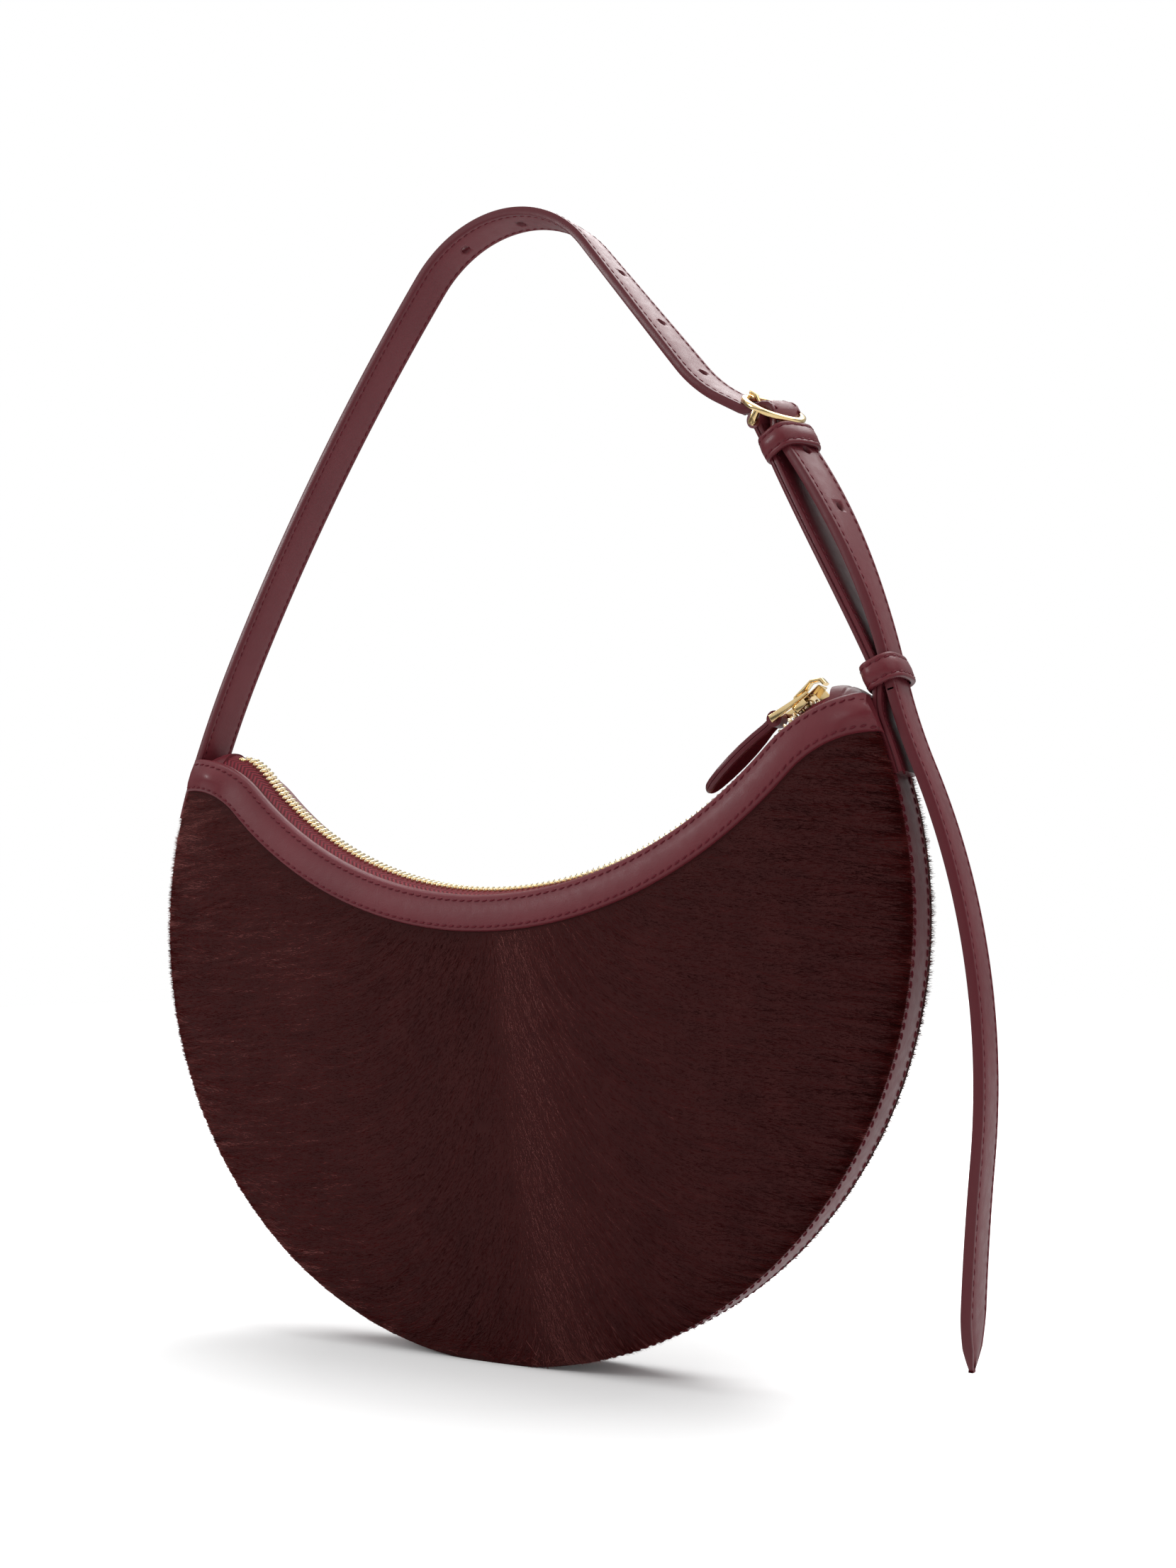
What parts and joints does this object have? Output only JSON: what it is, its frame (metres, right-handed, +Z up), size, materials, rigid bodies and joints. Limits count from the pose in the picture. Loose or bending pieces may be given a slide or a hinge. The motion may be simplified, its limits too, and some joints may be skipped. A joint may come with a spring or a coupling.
{
  "type": "half moon shoulder bag",
  "caption": "Half-moon shoulder bag in hair-on hide and leather, with a zipped mouth between two horns and a buckled shoulder strap with a hanging tail.",
  "frame": {"origin": "middle of the small flat at the bottom of the gusset, on which the bag rests", "axes": "+X to the right seen from the front, +Y to the back through the narrow depth, +Z up to the strap's crown"},
  "size_m": [0.2981, 0.0288, 0.3735],
  "materials": {
    "hair_hide": "short dyed hair on hide",
    "leather": "smooth semi-gloss, painted edges",
    "lining": "plain woven",
    "zip_tape": "herringbone woven",
    "gold_metal": "polished"
  },
  "bodies": {
    "bag": {"front_panel": "hair_hide", "rear_panel": "hair_hide", "front_top_trim": "leather", "rear_top_trim": "leather", "gusset": "leather", "front_lining": "lining", "rear_lining": "lining", "gusset_lining": "lining", "front_zip_tape": "zip_tape", "rear_zip_tape": "zip_tape", "front_zip_teeth": "gold_metal", "rear_zip_teeth": "gold_metal", "zip_stops": "gold_metal", "zip_end_tab_left": "leather", "zip_end_tab_right": "leather", "strap_end_left": "leather", "strap_fold_left": "leather", "tail_fold_upper": "leather", "strap_tail_held": "leather", "tail_fold_lower": "leather", "buckle_strap_end": "leather", "buckle_strap_fold": "leather"},
    "slider": {"zip_slider": "gold_metal"},
    "pull": {"pull_bar": "gold_metal"},
    "tab": {"pull_tab": "leather"},
    "strap": {"shoulder_strap": "leather", "buckle_strap": "leather", "buckle_frame": "gold_metal", "upper_keeper": "leather"},
    "prong": {"buckle_prong": "gold_metal"},
    "keeper": {"lower_keeper": "leather"},
    "tail": {"strap_tail": "leather"}
  },
  "joints": [
    {"name": "zip_travel", "type": "hinge", "parent": "bag", "child": "slider", "pos_m": [0, 0, 0.2842], "axis": [0, 1, 0], "range_deg": [0, 90], "deforming": ["front_zip_tape", "rear_zip_tape", "front_zip_teeth", "rear_zip_teeth"]},
    {"name": "pull_swing", "type": "hinge", "parent": "slider", "child": "pull", "pos_m": [0.10859, 0, 0.1999], "axis": [0, 1, 0], "range_deg": [0, 100]},
    {"name": "tab_swing", "type": "hinge", "parent": "pull", "child": "tab", "pos_m": [0.0976, 0, 0.19355], "axis": [0, 1, 0], "range_deg": [0, 40]},
    {"name": "strap_swing", "type": "hinge", "parent": "bag", "child": "strap", "pos_m": [0, 0, 0.218], "axis": [1, 0, 0], "range_deg": [-60, 60], "stiffness_Nm_per_rad": 0.3, "deforming": ["strap_fold_left", "buckle_strap_fold", "tail_fold_upper"]},
    {"name": "prong_lift", "type": "hinge", "parent": "strap", "child": "prong", "pos_m": [0.09558, 0, 0.28224], "axis": [0, 1, 0], "range_deg": [0, 5]},
    {"name": "keeper_slide", "type": "slide", "parent": "bag", "child": "keeper", "axis": [0.3746, 0, -0.9272], "range_m": [-0.0015, 0.0025]},
    {"name": "tail_swing", "type": "hinge", "parent": "bag", "child": "tail", "pos_m": [0.13866, 0, 0.18754], "axis": [0, -1, 0], "range_deg": [-6, 35], "stiffness_Nm_per_rad": 0.02, "deforming": ["tail_fold_lower"]}
  ]
}
